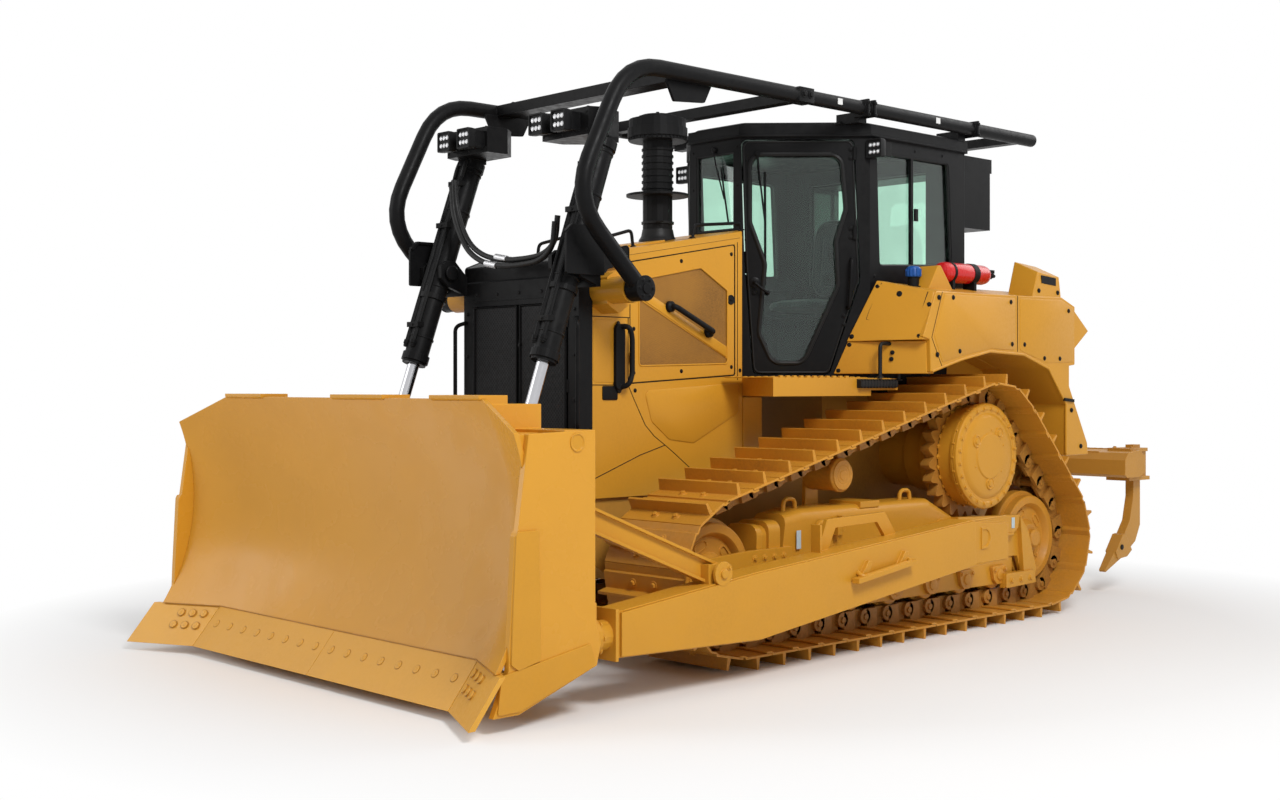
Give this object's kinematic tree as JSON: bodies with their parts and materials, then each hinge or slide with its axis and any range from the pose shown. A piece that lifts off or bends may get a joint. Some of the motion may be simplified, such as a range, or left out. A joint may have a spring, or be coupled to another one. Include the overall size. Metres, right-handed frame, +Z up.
{
  "type": "crawler bulldozer with semi-u blade and rear ripper",
  "caption": "Tracked bulldozer with raised sprockets, a curved front blade on push arms, an angled-door cab under guard tubes and a rear ripper.",
  "frame": {"origin": "ground under the middle of the bounding box, on the machine's centre plane", "axes": "+Z up, +Y towards the machine's rear (the ripper), +X towards its left side"},
  "size_m": [3.26, 6.839, 3.306],
  "materials": {
    "frame_black": "satin",
    "engine_yellow": "satin",
    "black_paint": "satin",
    "yellow_paint": "satin",
    "glass": "clear",
    "trim": "matte",
    "black_plastic": "matte",
    "rod_chrome": "polished",
    "edge_yellow": "satin",
    "track_yellow": "satin"
  },
  "bodies": {
    "tractor": {"main_frame": "yellow_paint", "engine": "engine_yellow", "radiator_guard": "black_paint", "hood": "yellow_paint", "cab": "black_paint", "cab_glass": "glass", "seat": "trim", "console": "trim", "fuel_tank": "yellow_paint", "decks": "yellow_paint", "guard_tubes": "black_paint", "guard_mounts": "yellow_paint", "intake_stack": "black_plastic", "rear_box": "black_paint", "cross_shafts": "frame_black", "lift_yokes": "yellow_paint", "cab_fittings": "black_paint", "ripper_frame": "yellow_paint", "track_left": "track_yellow", "track_frame_left": "yellow_paint", "running_wheels_left": "track_yellow", "sprocket_left": "yellow_paint", "fender_left": "yellow_paint", "track_right": "track_yellow", "track_frame_right": "yellow_paint", "running_wheels_right": "track_yellow", "sprocket_right": "yellow_paint", "fender_right": "yellow_paint"},
    "blade_assembly": {"blade": "yellow_paint", "cutting_edges": "edge_yellow", "push_arms": "yellow_paint"},
    "lift_barrels": {"lift_barrels": "black_paint"},
    "lift_rods": {"lift_rods": "rod_chrome"},
    "engine_door_left": {"engine_door_left": "yellow_paint"},
    "engine_door_right": {"engine_door_right": "yellow_paint"},
    "cab_door_left": {"cab_door_left": "black_paint", "door_glass_left": "glass"},
    "cab_door_right": {"cab_door_right": "black_paint", "door_glass_right": "glass"},
    "ripper_lower_links": {"ripper_lower_links": "yellow_paint"},
    "ripper_upper_link": {"ripper_upper_link": "yellow_paint"},
    "ripper_beam": {"ripper_beam": "yellow_paint", "ripper_shanks": "edge_yellow"},
    "ripper_barrels": {"ripper_barrels": "yellow_paint"},
    "ripper_rods": {"ripper_rods": "rod_chrome"}
  },
  "joints": [
    {"name": "blade_lift", "type": "hinge", "parent": "tractor", "child": "blade_assembly", "pos_m": [0, 0.675, 0.605], "axis": [-1, 0, 0], "range_deg": [-7.5, 14]},
    {"name": "lift_barrel_swing", "type": "hinge", "parent": "tractor", "child": "lift_barrels", "pos_m": [0, -1.953, 2.19], "axis": [-1, 0, 0], "range_deg": [-4.6, 8.4]},
    {"name": "lift_rod_slide", "type": "slide", "parent": "lift_barrels", "child": "lift_rods", "axis": [0, -0.3322, -0.9432], "range_m": [-0.745, 0.4]},
    {"name": "engine_door_left_swing", "type": "hinge", "parent": "tractor", "child": "engine_door_left", "pos_m": [0.508, -1.43, 1.9], "axis": [0, 0, -1], "range_deg": [0, 90]},
    {"name": "engine_door_right_swing", "type": "hinge", "parent": "tractor", "child": "engine_door_right", "pos_m": [-0.508, -1.43, 1.9], "axis": [0, 0, 1], "range_deg": [0, 90]},
    {"name": "cab_door_left_swing", "type": "hinge", "parent": "tractor", "child": "cab_door_left", "pos_m": [0.7977, 0.3266, 2.3], "axis": [0, 0, 1], "range_deg": [0, 90]},
    {"name": "cab_door_right_swing", "type": "hinge", "parent": "tractor", "child": "cab_door_right", "pos_m": [-0.7977, 0.3266, 2.3], "axis": [0, 0, -1], "range_deg": [0, 90]},
    {"name": "ripper_lift", "type": "hinge", "parent": "tractor", "child": "ripper_lower_links", "pos_m": [0, 2.38, 0.56], "axis": [1, 0, 0], "range_deg": [-40, 25]},
    {"name": "ripper_level", "type": "hinge", "parent": "ripper_lower_links", "child": "ripper_beam", "pos_m": [0, 3.08, 0.75], "axis": [1, 0, 0], "range_deg": [-25, 40]},
    {"name": "ripper_upper_swing", "type": "hinge", "parent": "tractor", "child": "ripper_upper_link", "pos_m": [0, 2.38, 0.96], "axis": [1, 0, 0], "range_deg": [-40, 25]},
    {"name": "ripper_ram_swing", "type": "hinge", "parent": "tractor", "child": "ripper_barrels", "pos_m": [0, 2.38, 0.68], "axis": [1, 0, 0], "range_deg": [-39.6, 24.9]},
    {"name": "ripper_ram_slide", "type": "slide", "parent": "ripper_barrels", "child": "ripper_rods", "axis": [0, 0.8033, 0.5956], "range_m": [-0.183, 0.116]}
  ],
  "couplings": [
    {"joint": "lift_barrel_swing", "follows": "blade_lift", "ratio": 0.5859},
    {"joint": "lift_rod_slide", "follows": "blade_lift", "m_per_rad": -3.028},
    {"joint": "ripper_level", "follows": "ripper_lift", "ratio": -1},
    {"joint": "ripper_upper_swing", "follows": "ripper_lift", "ratio": 1},
    {"joint": "ripper_ram_swing", "follows": "ripper_lift", "ratio": 0.9828},
    {"joint": "ripper_ram_slide", "follows": "ripper_lift", "m_per_rad": 0.2571}
  ]
}
